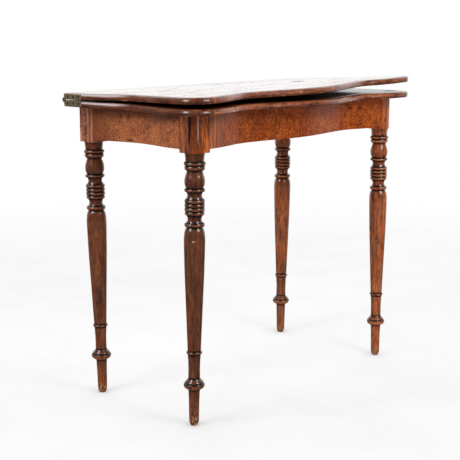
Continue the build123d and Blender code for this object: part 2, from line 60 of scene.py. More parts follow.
# Lift of the warped leaf's front edge, and from that its slope and its curve along the leaf
LEFT_LIFT, MIDDLE_LIFT, RIGHT_LIFT = 0.0094, 0.0148, 0.0260
WARP_SLOPE = (RIGHT_LIFT - LEFT_LIFT) / 2
WARP_CURVE = (RIGHT_LIFT + LEFT_LIFT) / 2 - MIDDLE_LIFT

# Heights of the grooves and of the bead crests turned on a leg
GROOVES = (0.0875, 0.1029, 0.1145, 0.1720, 0.1797, 0.4686, 0.4797, 0.4958, 0.5047, 0.5142, 0.5231,
           0.5330, 0.5486, 0.5568, 0.5963, 0.6074, 0.6163)
CRESTS = (0.0973, 0.1759, 0.4741, 0.5002, 0.5094, 0.5187, 0.5279, 0.5527, 0.6020, 0.6118)
# Heights on a leg: its chipped end, its rubbed foot and the rubbed rim of its ball, and the darker part
CHIP_TOP, FOOT_TOP = 0.030, 0.085
BALL_RIM = (0.088, 0.096)
DARKER_FROM = (0.435, 0.450)

# Where a finish fades in: X towards an end of the leaves, and Y along the arris with the painted
# highlight
LEFT_END = (-0.30, -0.35)
RIGHT_END = (0.21, 0.31)
PAINTED_HIGHLIGHT_REACH = (0.035, 0.190)


def mark(box, right, back, up, *radii):
    """A mark's centre, in metres from the lowest corner of a piece, and its radii."""
    return box[LOW] + Vector((right, back, up)), radii


# Marks of age, and marks of painted highlight and sheen
LEFT_POST_CRACK = mark(LEFT_LEG, 0.0009, 0.0187, 0.6920, 0.0050, 0.0026, 0.0420)
LEFT_POST_PAINTED_HIGHLIGHT = mark(LEFT_LEG, 0.0121, 0.0026, 0.6930, 0.0021, 0.0030, 0.0360)
LEFT_LEG_CHIP = mark(LEFT_LEG, 0.0053, 0.0109, 0.4392, 0.0040, 0.0040, 0.0016)
RIGHT_POST_RUBS = (mark(RIGHT_LEG, 0.0098, 0.0061, 0.6800, 0.0022, 0.0040, 0.0450),
                   mark(RIGHT_LEG, 0.0258, 0.0061, 0.6850, 0.0018, 0.0040, 0.0400))
RIGHT_POST_CRACKS = (mark(RIGHT_LEG, 0.0288, 0.0061, 0.7050, 0.0022, 0.0060, 0.0180),
                     mark(RIGHT_LEG, 0.0144, 0.0061, 0.6604, 0.0030, 0.0040, 0.0050))
RIGHT_LEG_SCRATCH = mark(RIGHT_LEG, 0.0074, 0.0187, 0.3287, 0.0030, 0.0030, 0.0014)
BACK_POST_INK = mark(BACK_LEG, 0.0003, 0.0299, 0.6780, 0.0300, 0.0150, 0.0400)
BACK_POST_RUB = mark(BACK_LEG, 0.0003, 0.0019, 0.6780, 0.0100, 0.0016, 0.0300)
BURR_KNOTS = (mark(BURR, 0.5465, 0.0112, 0.0543, 0.0060, 0.0100, 0.0050),
              mark(BURR, 0.5138, 0.0200, 0.0558, 0.0090, 0.0100, 0.0040),
              mark(BURR, 0.5023, 0.0215, 0.0641, 0.0030, 0.0100, 0.0060),
              mark(BURR, 0.4950, 0.0219, 0.0387, 0.0040, 0.0100, 0.0070))
SIDE_KNOTS = (mark(SIDE, 0.0151, 0.1768, 0.0614, 0.0100, 0.0060, 0.0050),
              mark(SIDE, 0.0108, 0.1992, 0.0603, 0.0100, 0.0050, 0.0040),
              mark(SIDE, 0.0145, 0.2101, 0.0265, 0.0100, 0.0030, 0.0050),
              mark(SIDE, 0.0154, 0.1750, 0.0059, 0.0100, 0.0120, 0.0040))
EDGE_CHIPS = (mark(LOWER_EDGE, 0.0826, 0.0306, 0.0049, 0.0035, 0.0040, 0.0022),
              mark(LOWER_EDGE, 0.1051, 0.0384, 0.0108, 0.0025, 0.0030, 0.0035),
              mark(UPPER_EDGE, 0.2979, 0.0105, 0.0120, 0.0030, 0.0040, 0.0020))
TOP_PAINTED_SHEENS = (mark(TOP, 0.1007, 0.3791, 0.0022, 0.0900, 0.0300, 0.0200),
                    mark(TOP, 0.4620, 0.3101, 0.0080, 0.1200, 0.0300, 0.0200))
TOP_BURN = mark(TOP, 0.6219, 0.2278, 0.0098, 0.0210, 0.0190, 0.0100)
WAX_DROP = mark(LOWER_EDGE, 0.5815, 0.1015, 0.0150, 0.0080, 0.0070, 0.0100)
PLAY_PAINTED_SHEEN = mark(LOWER_EDGE, 0.5150, 0.0711, 0.0150, 0.0550, 0.0350, 0.0100)
PLAY_SMUDGE = mark(LOWER_EDGE, 0.7600, 0.0661, 0.0150, 0.0300, 0.0120, 0.0100)

WHITE = (1.0, 1.0, 1.0)


def colour(name, what, value):
    """A colour property."""
    return FloatVectorProperty(name=name, description=what, default=value, subtype="COLOR",
                               size=3, min=0.0, max=1.0)


def share(name, what, value):
    """A property between nothing and everything."""
    return FloatProperty(name=name, description=what, default=value, subtype="FACTOR",
                         min=0.0, max=1.0)


def length(name, what, value):
    """A size in metres."""
    return FloatProperty(name=name, description=what, default=value, unit="LENGTH", min=0.0)


class WoodColours(bpy.types.PropertyGroup):
    """Colours of the woods, as they look in even light."""
    # Also laid on the legs as painted shade, in the hollows and on faces that look up
    leg_dark: colour("Leg, dark", "Dark grain and old wax of the legs", (0.028, 0.008, 0.004))
    leg_mid: colour("Leg", "Polished mahogany of the legs", (0.175, 0.050, 0.018))
    leg_light: colour("Leg, light", "Light grain of the legs", (0.330, 0.100, 0.034))
    leg_worn: colour("Leg, worn", "Wood where the polish is worn through", (0.520, 0.170, 0.052))
    # Also the painted shadow under the leaf on the side veneers
    burr_dark: colour("Burr, dark", "Eyes and curls of the burr", (0.080, 0.013, 0.003))
    burr_mid: colour("Burr", "Ground of the burr veneer", (0.320, 0.052, 0.005))
    burr_light: colour("Burr, light", "Flames of the burr veneer", (0.600, 0.150, 0.018))
    strip_dark: colour("Strip, dark", "Dark lines of the straight-grained strip", (0.100, 0.028, 0.012))
    strip_light: colour("Strip, light", "Light lines of the strip", (0.330, 0.100, 0.042))
    # Also painted shade towards the back of the sides, and a patch of painted sheen on the playing
    # faces
    side_dark: colour("Side, dark", "Shaded grain of the side veneers", (0.150, 0.034, 0.011))
    side_mid: colour("Side", "Ground of the side veneers", (0.400, 0.112, 0.040))
    side_light: colour("Side, light", "Orange patches of the side veneers", (0.640, 0.215, 0.068))
    edge_dark: colour("Edge, dark", "Dark polish in the edges of the leaves", (0.045, 0.011, 0.006))
    edge_mid: colour("Edge", "Mahogany edges of the leaves", (0.230, 0.058, 0.022))
    edge_light: colour("Edge, light", "Light grain of the edges", (0.390, 0.125, 0.052))
    edge_worn: colour("Edge, worn", "Orange wood on the worn arrises", (0.520, 0.190, 0.060))
    top_dark: colour("Top, dark", "Dark veins of the polished top", (0.060, 0.018, 0.007))
    top_mid: colour("Top", "Ground of the polished top", (0.200, 0.072, 0.028))
    # Also the patches of painted sheen on the top
    top_light: colour("Top, light", "Light bands of the polished top", (0.320, 0.130, 0.055))
    play_dark: colour("Playing side, dark", "Dark polish inside the leaves", (0.015, 0.005, 0.003))
    play_mid: colour("Playing side", "Ground inside the leaves", (0.050, 0.015, 0.008))
    play_light: colour("Playing side, light", "Light bands inside the leaves", (0.110, 0.036, 0.018))
    pine_dark: colour("Pine, dark", "Age and dust on the inner woods", (0.170, 0.070, 0.030))
    pine_mid: colour("Pine", "Bare pine of the inner woods", (0.370, 0.180, 0.080))
    pine_light: colour("Pine, light", "Early wood of the pine", (0.500, 0.280, 0.135))
    # A painted highlight, on the left end's upper arris and down the left front post's corner
    painted_highlight: colour("Bleached polish", "Pale polish on the left upper arris", (0.620, 0.510, 0.540))
    bare: colour("Bare wood", "Chips where fresh wood shows", (0.780, 0.520, 0.290))
    wax: colour("Sealing wax", "A drop on the playing side", (0.360, 0.024, 0.013))


class MetalColours(bpy.types.PropertyGroup):
    """Colours of the metals."""
    brass: colour("Brass", "Brass under its patina", (0.430, 0.320, 0.200))
    patina: colour("Patina", "Dark patina of the hinges", (0.110, 0.080, 0.052))
    verdigris: colour("Verdigris", "Green bloom at the knuckles", (0.120, 0.130, 0.085))
    iron: colour("Iron", "Forged iron of the pivot", (0.070, 0.064, 0.060))
    rust: colour("Rust", "Rust bloom on the iron", (0.160, 0.065, 0.030))


class Wear(bpy.types.PropertyGroup):
    """How worn the table is, and how dark its hollows are with old wax and painted shade."""
    arris: share("Worn arrises", "How much wood shows through on outer arrises", 0.75)
    # The dark hollows are old wax and painted shade
    hollows: share("Dark hollows", "How much old wax lies in the hollows", 0.92)
    pores: length("Pore depth", "Depth of the open grain", 0.00012)


class Studio(bpy.types.PropertyGroup):
    """Lights and floor."""
    softbox_power: FloatProperty(name="Softbox power", description="Each front softbox",
                                 default=27.0, unit="POWER", min=0.0)
    rear_power: FloatProperty(name="Rear panel power", description="Wide panel behind the table",
                              default=1.4, unit="POWER", min=0.0)
    softbox_width: length("Softbox width", "Width of each softbox", 0.90)
    softbox_height: length("Softbox height", "Height of each softbox", 1.20)
    distance: length("Softbox distance", "From the table's middle", 2.5)
    ambient: share("Ambient", "Even light from all round", 0.40)
    floor_radius: length("Floor radius", "Size of the round floor", 6.0)


# Node trees


class Finish:
    """One material, with short ways to lay the nodes that feed its shader."""

    def __init__(self, name):
        self.material = bpy.data.materials.new(name)
        self.material.use_nodes = True
        self.tree = self.material.node_tree
        self.shader = self.tree.nodes["Principled BSDF"]
        self.place = self.node("ShaderNodeTexCoord").outputs["Object"]
        # What later marks need: the colour so far, and where the post or the leaf's edge is
        self.tint = self.on_post = self.edge = None

    def feed(self, socket, value):
        """Link a socket to another, or set its value."""
        if isinstance(value, bpy.types.NodeSocket):
            self.tree.links.new(value, socket)
        elif socket.type == "RGBA":
            socket.default_value = (*value[:3], 1.0)
        else:
            socket.default_value = value

    def node(self, kind, sockets=None, **settings):
        """A node with its settings and sockets filled in."""
        made = self.tree.nodes.new(kind)
        for key, value in settings.items():
            setattr(made, key, value)
        for key, value in (sockets or {}).items():
            self.feed(made.inputs[key], value)
        return made

    def math(self, operation, first, second=0.0, third=0.0):
        """Arithmetic on up to three values."""
        sockets = {0: first, 1: second, 2: third}
        return self.node("ShaderNodeMath", sockets, operation=operation).outputs[0]

    def times(self, first, *others):
        """The product of some values."""
        for other in others:
            first = self.math("MULTIPLY", first, other)
        return first

    def line(self, value, slope, start):
        """A straight line along a value: the slope times the value, and the start."""
        return self.math("MULTIPLY_ADD", value, slope, start)

    def fade(self, value, low, high):
        """A smooth step from nothing at low to all at high."""
        sockets = {"Value": value, "From Min": low, "From Max": high}
        return self.node("ShaderNodeMapRange", sockets, interpolation_type="SMOOTHSTEP").outputs[0]

    def band(self, value, low, high, soft):
        """All between two limits, with soft edges, and nothing outside them."""
        return self.times(self.fade(value, low - soft, low + soft),
                          self.fade(value, high + soft, high - soft))

    def spread(self, scale, place=None, move=(0, 0, 0)):
        """Coordinates stretched by a number of waves per metre along each axis."""
        sockets = {"Vector": place or self.place, "Scale": scale, "Location": move}
        return self.node("ShaderNodeMapping", sockets).outputs[0]

    def noise(self, scale, detail=3.0, rough=0.55, twist=0.0, move=(0, 0, 0), place=None):
        """Noise with so many waves per metre along each axis."""
        sockets = {"Vector": self.spread(scale, place, move), "Scale": 1.0, "Detail": detail,
                   "Roughness": rough, "Distortion": twist}
        return self.node("ShaderNodeTexNoise", sockets).outputs["Fac"]

    def mix(self, amount, first, second, kind="MIX"):
        """Two colours mixed."""
        made = self.node("ShaderNodeMix", data_type="RGBA", blend_type=kind)
        self.feed(made.inputs[0], amount)
        self.feed(made.inputs[6], first)
        self.feed(made.inputs[7], second)
        return made.outputs[2]

    def lay(self, tint, over, *shares):
        """A colour laid over a tint, as far as the product of the shares."""
        return self.mix(self.times(*shares), tint, over)

    def ramp(self, value, *stops):
        """Colours along a value: stops are pairs of place and colour."""
        made = self.node("ShaderNodeValToRGB", {"Fac": value})
        elements = made.color_ramp.elements
        while len(elements) < len(stops):
            elements.new(0.5)
        for element, (position, tint) in zip(elements, stops):
            element.position = position
            element.color = (*tint[:3], 1.0)
        return made.outputs["Color"]

    def axis(self, letter, vector=None):
        """One coordinate of a vector, or of the place."""
        return self.node("ShaderNodeSeparateXYZ", {0: vector or self.place}).outputs[letter]

    def slope(self):
        """How far the surface faces up: one level, nothing upright, minus one beneath."""
        return self.axis("Z", self.node("ShaderNodeTexCoord").outputs["Normal"])

    def warp(self, scale, push):
        """The place, pushed about by noise."""
        sockets = {"Vector": self.spread(scale), "Scale": 1.0, "Detail": 2.0}
        drift = self.node("ShaderNodeTexNoise", sockets).outputs["Color"]
        sockets = {0: drift, 1: (push,) * 3, 2: self.place}
        return self.node("ShaderNodeVectorMath", sockets, operation="MULTIPLY_ADD").outputs[0]

    def ridge(self, scale, width, move=(0, 0, 0), place=None):
        """Thin wandering lines."""
        level = self.noise(scale, move=move, place=place)
        return self.fade(self.math("ABSOLUTE", self.math("SUBTRACT", level, 0.5)), width, 0.0)

    def spot(self, centre, radii, ragged=0.35, grain=(350, 350, 350)):
        """A ragged round patch at a place on the surface."""
        away = self.node("ShaderNodeVectorMath", {0: self.place, 1: centre}, operation="SUBTRACT")
        span = self.node("ShaderNodeVectorMath", {0: away.outputs[0], 1: radii}, operation="DIVIDE")
        far = self.node("ShaderNodeVectorMath", {0: span.outputs[0]}, operation="LENGTH")
        torn = self.line(self.noise(grain), ragged * 2, -ragged)
        return self.fade(self.math("ADD", far.outputs["Value"], torn), 1.1, 0.7)

    def marks(self, tint, over, strength, *places):
        """Patches of one colour laid over a tint: each place is a centre and its radii."""
        for centre, radii in places:
            tint = self.lay(tint, over, self.spot(centre, radii), strength)
        return tint

    def convex(self, low, high):
        """Where the surface bulges out, as on an arris or a bead."""
        return self.fade(self.node("ShaderNodeNewGeometry").outputs["Pointiness"], low, high)

    def cavity(self, reach):
        """Where the piece folds in on itself, as in a groove."""
        made = self.node("ShaderNodeAmbientOcclusion", {"Distance": reach}, samples=6,
                         only_local=True)
        return self.fade(made.outputs["AO"], 0.96, 0.50)

    def rings(self, height, places, near, far):
        """Level lines round a turned piece: full up to near from each height and gone at far."""
        total = 0.0
        for place in places:
            away = self.math("ABSOLUTE", self.math("SUBTRACT", height, place))
            total = self.math("MAXIMUM", self.fade(away, far, near), total)
        return total

    def relief(self, height, depth, under=None):
        """Bump of a depth in metres."""
        sockets = {"Height": height, "Distance": depth, "Strength": 1.0}
        if under is not None:
            sockets["Normal"] = under
        return self.node("ShaderNodeBump", sockets).outputs[0]

    def glow(self, strength):
        """White light of its own."""
        sockets = {"Color": WHITE, "Strength": strength}
        return self.node("ShaderNodeEmission", sockets).outputs[0]

    def shade(self, **sockets):
        """Fill the shader's sockets, named with underscores for spaces."""
        for key, value in sockets.items():
            self.feed(self.shader.inputs[key.replace("_", " ")], value)
        return self.material


# Pores of the open grain, in waves per metre across and along it
PORES_ACROSS, PORES_ALONG = 1500.0, 70.0


def along_grain(letter, fine, coarse):
    """Waves per metre across and along the grain, as a scale for the three axes."""
    return tuple(coarse if axis == letter else fine for axis in "XYZ")


def grain(finish, letter, dark, mid, light, figure, streak, twist, move=(0, 0, 0), span=0.18):
    """Streaked wood along one axis: its colour and the height of its pores."""
    broad = finish.noise(along_grain(letter, figure, figure / 14), detail=4.0, rough=0.6,
                         twist=twist, move=move)
    fine = finish.noise(along_grain(letter, streak, streak / 22), rough=0.6, twist=0.2, move=move)
    pores = finish.noise(along_grain(letter, PORES_ACROSS, PORES_ALONG), detail=2.0, rough=0.5,
                         move=move)
    blend = finish.line(fine, 0.45, finish.times(broad, 0.62))
    tint = finish.ramp(blend, (0.53 - span, dark), (0.53, mid), (0.53 + span, light))
    return finish.lay(tint, dark, finish.fade(pores, 0.36, 0.24), 0.55), pores


def dress(names, material):
    """Give a material to each named node."""
    for name in names:
        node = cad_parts[name]
        node.data.materials.clear()
        node.data.materials.append(material)


def settings():
    """The property groups of the scene."""
    scene = bpy.context.scene
    return scene.table_woods, scene.table_metals, scene.table_wear, scene.table_studio


# Woods

# Tints that multiply the wood beneath them
WARM_LENGTH, COOL_LENGTH = (1.17, 0.98, 0.78), (0.84, 0.95, 1.04)
UPPER_LEG_SHADE = (0.78, 0.74, 0.72)
RIGHT_POST_TINT = (1.50, 1.15, 0.60)
# The back post's tint is partly tone and partly painted sheen, raising the blue most
BACK_POST_TINT_AND_SHEEN = (1.20, 1.45, 2.20)
# Round the left front post: X less Y where the tones begin, how far they run, and the tones; the dark
# stops on the rounded corner are painted shade
CORNER_START, CORNER_RUN = -0.269, 0.096
CORNER_TONES_AND_SHADE = ((0.0, (1.05, 1.02, 1.05)), (0.26, (1.10, 1.05, 1.15)), (0.33, (0.30, 0.20, 0.20)),
                (0.42, (0.68, 0.46, 0.18)), (0.66, (0.76, 0.50, 0.18)), (0.76, (1.32, 1.08, 0.50)),
                (1.0, (1.40, 1.12, 0.52)))
# Colours of single marks
CRACK_BLACK = (0.003, 0.001, 0.001)
INK = (0.040, 0.020, 0.018)
BURN_BROWN = (0.040, 0.018, 0.010)

LEG_GRAIN = {"figure": 150.0, "streak": 620.0}
FACE_GRAIN = {"figure": 46.0, "streak": 300.0, "twist": 0.5}
VENEER_POLISH = {"Specular_IOR_Level": 0.40, "Coat_Weight": 0.10, "Coat_Roughness": 0.22}


def turned_ground(made, tint, dark, move):
    """Dark patches, warm and cool lengths, a darker upper part, and painted shade on faces that look
    up, on a turned leg.
    """
    patches = made.noise((110, 110, 45), detail=4.0, rough=0.6, twist=0.3, move=move)
    tint = made.lay(tint, dark, made.fade(patches, 0.50, 0.36), 0.48)
    lengths = made.fade(made.noise((55, 55, 14), rough=0.6, twist=0.4, move=move), 0.40, 0.60)
    lengths = made.ramp(lengths, (0.0, WARM_LENGTH), (1.0, COOL_LENGTH))
    tint = made.mix(1.0, tint, lengths, "MULTIPLY")
    upper = made.fade(made.axis("Z"), *DARKER_FROM)
    tint = made.mix(upper, tint, UPPER_LEG_SHADE, "MULTIPLY")
    # Faces that look up are darkened: painted shade
    return made.lay(tint, dark, made.fade(made.slope(), 0.15, 0.75), 0.40)


def turned_wear(made, tint, dark, tone, move):
    """Worn crests, old wax and painted shade in the hollows, dark dashes and a rubbed foot on a turned
    leg.
    """
    woods, _, wear, _ = settings()
    height = made.axis("Z")
    rubbed = made.fade(made.noise((90, 90, 60), detail=4.0, rough=0.65, move=move), 0.38, 0.60)
    crests = made.rings(height, CRESTS, 0.0004, 0.0030)
    tint = made.lay(tint, Vector(woods.leg_worn) * tone * 0.62, crests, rubbed, wear.arris)
    # Old wax and painted shade in the grooves and hollows, from ambient occlusion and the groove
    # heights
    hollows = made.math("MAXIMUM", made.cavity(0.012), made.rings(height, GROOVES, 0.0012, 0.0036))
    tint = made.lay(tint, dark * 0.25, hollows, wear.hollows)
    flecks = made.noise((420, 420, 130), rough=0.6, twist=0.2, move=move)
    tint = made.lay(tint, dark, made.fade(flecks, 0.42, 0.33), 0.50)
    foot = made.math("MAXIMUM", made.fade(height, FOOT_TOP, 0.0), made.band(height, *BALL_RIM, 0.002))
    tint = made.lay(tint, woods.leg_worn, foot, made.fade(flecks, 0.49, 0.60), wear.arris)
    chips = made.fade(flecks, 0.54, 0.62)
    return made.lay(tint, woods.bare, made.fade(height, CHIP_TOP, 0.004), chips)


def leg_finish(name, tone, post_tone, gloss, move):
    """Polished mahogany of one leg and its post; the tones darken or lighten them."""
    woods, _, wear, _ = settings()
    made = Finish(name)
    wood = [Vector(c) for c in (woods.leg_dark, woods.leg_mid, woods.leg_light)]
    turned, pores = grain(made, "Z", *(c * tone for c in wood), twist=0.15, move=move, span=0.22,
                          **LEG_GRAIN)
    square, _ = grain(made, "Z", *(c * post_tone for c in wood), twist=0.10, move=move, span=0.12,
                      **LEG_GRAIN)
    turned = turned_ground(made, turned, wood[0], move)
    turned = turned_wear(made, turned, wood[0], tone, move)
    made.on_post = made.fade(made.axis("Z"), POST_FOOT - 0.002, POST_FOOT)
    made.tint = made.mix(made.on_post, turned, square)
    made.shade(Roughness=0.34, Specular_IOR_Level=0.40, Coat_Roughness=0.07,
               Coat_Weight=made.line(made.on_post, -0.40 * gloss, gloss),
               Normal=made.relief(pores, wear.pores))
    return made


def front_left_marks(made):
    """The left front post goes from brown by the side to a dark corner, partly painted shade, and an
    orange front, with a painted highlight down the corner.
    """
    woods = settings()[0]
    across = made.math("SUBTRACT", made.axis("X"), made.axis("Y"))
    run = made.math("DIVIDE", made.math("SUBTRACT", across, CORNER_START), CORNER_RUN)
    # Tones round the post; the dark corner is partly painted shade
    tint = made.mix(made.on_post, made.tint, made.ramp(run, *CORNER_TONES_AND_SHADE), "MULTIPLY")
    blots = made.noise((160, 160, 55), detail=4.0, rough=0.65, twist=0.6, move=(3, 3, 3))
    tint = made.lay(tint, woods.leg_dark, made.fade(blots, 0.50, 0.38), made.on_post, 0.60)
    tint = made.mix(made.spot(*LEFT_POST_CRACK, ragged=0.15), tint, CRACK_BLACK)
    # A painted highlight down the rounded corner of the post
    tint = made.marks(tint, woods.painted_highlight, 0.42, LEFT_POST_PAINTED_HIGHLIGHT)
    made.tint = made.marks(tint, woods.bare, 0.8, LEFT_LEG_CHIP)


def front_right_marks(made):
    """A crack with pale edges in the right front post and a scratch on its leg."""
    woods = settings()[0]
    tint = made.mix(made.on_post, made.tint, RIGHT_POST_TINT, "MULTIPLY")
    tint = made.marks(tint, woods.leg_worn, 0.7, *RIGHT_POST_RUBS)
    tint = made.marks(tint, woods.leg_dark, 0.95, *RIGHT_POST_CRACKS)
    made.tint = made.marks(tint, woods.bare, 0.7, RIGHT_LEG_SCRATCH)


def back_left_marks(made):
    """Old ink, a rubbed edge and a tint that is partly painted sheen, on the left back post."""
    woods = settings()[0]
    # Tone and painted sheen on the post
    tint = made.mix(made.on_post, made.tint, BACK_POST_TINT_AND_SHEEN, "MULTIPLY")
    field = made.spot(*BACK_POST_INK, ragged=0.3, grain=(60, 60, 40))
    blots = made.noise((270, 270, 200), detail=4.0, rough=0.65, twist=1.0)
    tint = made.lay(tint, INK, field, made.fade(blots, 0.46, 0.58))
    made.tint = made.marks(tint, woods.leg_worn, 0.6, BACK_POST_RUB)


def burr_finish():
    """Burr veneer of the front: curls over clouds, with dark lines, plumes and eyes."""
    woods, _, wear, _ = settings()
    made = Finish("burr_veneer_polish")
    pushed = made.warp((110, 110, 110), 0.009)
    clouds = made.noise((40, 40, 30), twist=0.4)
    curls = made.noise((300, 300, 240), detail=4.0, rough=0.62, place=pushed)
    blend = made.line(curls, 0.78, made.times(clouds, 0.22))
    tint = made.ramp(blend, (0.36, woods.burr_dark), (0.49, woods.burr_mid), (0.63, woods.burr_light))
    lines = made.ridge((150, 150, 120), 0.022, move=(4, 1, 2), place=pushed)
    plumes = made.noise((60, 60, 22), detail=4.0, rough=0.6, twist=0.8, move=(6, 2, 2))
    eyes = made.noise((260, 260, 230), detail=2.0, rough=0.5, move=(3.1, 0, 7.7), place=pushed)
    for place, strength in ((lines, 0.65), (made.fade(plumes, 0.50, 0.66), 0.45),
                            (made.fade(eyes, 0.66, 0.74), 0.80)):
        tint = made.lay(tint, woods.burr_dark, place, strength)
    tint = made.marks(tint, woods.burr_dark, 0.85, *BURR_KNOTS)
    brighter_right = made.line(made.axis("X"), 0.45, 1.08)
    level = made.node("ShaderNodeCombineXYZ", {axis: brighter_right for axis in "XYZ"}).outputs[0]
    tint = made.mix(1.0, tint, level, "MULTIPLY")
    pores = made.noise((900, 900, 900), detail=2.0)
    return made.shade(Base_Color=tint, Roughness=0.36, Specular_IOR_Level=0.28, Coat_Weight=0.06,
                      Coat_Roughness=0.20, Normal=made.relief(pores, wear.pores))


def strip_finish():
    """Straight-grained strip beside the left post, dark along its joint with it."""
    woods, _, wear, _ = settings()
    made = Finish("strip_veneer_polish")
    tint, pores = grain(made, "Z", woods.strip_dark, woods.strip_light, woods.side_light,
                        figure=120.0, streak=520.0, twist=0.1)
    joint = made.fade(made.axis("X"), STRIP[LOW].x + 0.005, STRIP[LOW].x + 0.001)
    tint = made.lay(tint, woods.strip_dark, joint, 0.8)
    return made.shade(Base_Color=tint, Roughness=0.36, Normal=made.relief(pores, wear.pores),
                      **VENEER_POLISH)


def side_finish():
    """Smoother veneer of the ends, with orange patches, a painted shadow under the leaf and painted
    shade towards the back.
    """
    woods, _, wear, _ = settings()
    made = Finish("side_veneer_polish")
    mottle = made.noise((420, 420, 260), rough=0.65, twist=0.3)
    streak = made.noise((260, 260, 16), detail=2.0, rough=0.5, twist=0.2)
    patch = made.noise((16, 20, 26), rough=0.5, twist=0.6)
    blend = made.line(streak, 0.12, made.line(mottle, 0.52, made.times(patch, 0.36)))
    tint = made.ramp(blend, (0.41, woods.side_dark), (0.50, woods.side_mid), (0.59, woods.side_light))
    dashes = made.fade(made.noise((330, 330, 90), rough=0.6, twist=0.3, move=(5, 5, 5)), 0.50, 0.58)
    tint = made.lay(tint, woods.side_light, dashes, 0.55)
    specks = made.fade(made.noise((380, 380, 260), rough=0.6, move=(9, 2, 4)), 0.50, 0.42)
    tint = made.lay(tint, woods.side_dark, specks, 0.60)
    # Painted shadow of the leaf along the top, in the burr's dark colour
    ragged = made.line(made.noise((90, 90, 60), detail=4.0), 0.03, made.axis("Z"))
    painted_shadow_under_leaf = made.fade(ragged, SIDE[HIGH].z - 0.014, SIDE[HIGH].z + 0.014)
    tint = made.lay(tint, woods.burr_dark, painted_shadow_under_leaf, 0.80)
    # Painted shade towards the back post
    painted_shade_towards_back = made.fade(made.axis("Y"), SIDE[HIGH].y - 0.100, SIDE[HIGH].y)
    tint = made.lay(tint, woods.side_dark, painted_shade_towards_back, 0.70)
    tint = made.marks(tint, woods.burr_dark, 0.7, *SIDE_KNOTS)
    pores = made.noise((1300, 1300, 500), detail=2.0)
    return made.shade(Base_Color=tint, Roughness=0.38, Normal=made.relief(pores, wear.pores),
                      **VENEER_POLISH)


def edge_height(made, leaf):
    """Height in the edge of a leaf: nothing at its lower face, one at its upper."""
    if leaf == "lower":
        low = LOWER_EDGE[LOW].z
    else:
        across = made.math("DIVIDE", made.axis("X"), JOINT_X)
        lift = made.line(across, WARP_SLOPE, MIDDLE_LIFT)
        lift = made.line(made.times(across, across), WARP_CURVE, lift)
        depth = FOLD.y - LOWER_EDGE[LOW].y
        reach = made.math("DIVIDE", made.math("SUBTRACT", FOLD.y, made.axis("Y")), depth)
        low = made.line(reach, lift, UPPER_UNDERSIDE)
    return made.math("DIVIDE", made.math("SUBTRACT", made.axis("Z"), low), LEAF_THICKNESS)


def edge_finish(name, leaf, letter, move, tone):
    """Polished lipping with the grain along it, dark beneath and worn on its arrises."""
    woods, _, wear, _ = settings()
    made = Finish(name)
    colours = (Vector(c) * tone for c in (woods.edge_dark, woods.edge_mid, woods.edge_light))
    tint, pores = grain(made, letter, *colours, figure=110.0, streak=620.0, twist=0.15, move=move,
                        span=0.12)
    made.edge = edge_height(made, leaf)
    blots = made.noise(along_grain(letter, 150, 38), detail=4.0, rough=0.6, twist=0.4, move=move)
    tint = made.lay(tint, woods.edge_dark, made.fade(blots, 0.50, 0.34), 0.50)
    tint = made.lay(tint, woods.edge_dark, made.fade(made.edge, 0.55, 0.10), 0.62)
    rubbed = made.noise(along_grain(letter, 120, 22), detail=4.0, rough=0.65, move=move)
    upper_arris = made.band(made.slope(), 0.45, 0.90, 0.10)
    tint = made.lay(tint, woods.edge_worn, upper_arris, made.fade(rubbed, 0.52, 0.66), wear.arris)
    lower_arris = made.band(made.slope(), -0.85, -0.25, 0.10)
    tint = made.lay(tint, woods.edge_worn, lower_arris, made.fade(rubbed, 0.56, 0.66), wear.arris)
    level = made.fade(made.math("ABSOLUTE", made.slope()), 0.94, 0.99)
    made.tint = made.lay(tint, woods.top_dark, level, 0.55)
    above_middle = made.math("MAXIMUM", made.math("SUBTRACT", made.edge, 0.48), 0.0)
    rounded = made.relief(made.times(above_middle, -1.0), 0.0060)
    made.shade(Roughness=0.34, Specular_IOR_Level=0.35, Coat_Weight=0.72, Coat_Roughness=0.15,
               Coat_Normal=rounded, Normal=made.relief(pores, wear.pores, rounded))
    return made


def painted_arris_highlight(made):
    """A painted highlight along the upper arris of the left end, towards the hinge."""
    reach = made.band(made.axis("Y"), *PAINTED_HIGHLIGHT_REACH, 0.030)
    left_end = made.fade(made.axis("X"), *LEFT_END)
    arris = made.band(made.edge, 0.62, 0.92, 0.06)
    made.tint = made.lay(made.tint, settings()[0].painted_highlight, reach, left_end, arris, 0.90)


def joint_marks(made):
    """End grain at the joints of the lipping and chips in the front edges."""
    woods = settings()[0]
    torn = made.fade(made.noise((500, 500, 500), rough=0.6), 0.42, 0.58)
    for middle in (-JOINT_X, JOINT_X):
        joint = made.band(made.axis("X"), middle - 0.004, middle + 0.004, 0.002)
        made.tint = made.lay(made.tint, woods.edge_worn, joint, torn)
    made.tint = made.marks(made.tint, woods.bare, 0.95, *EDGE_CHIPS)


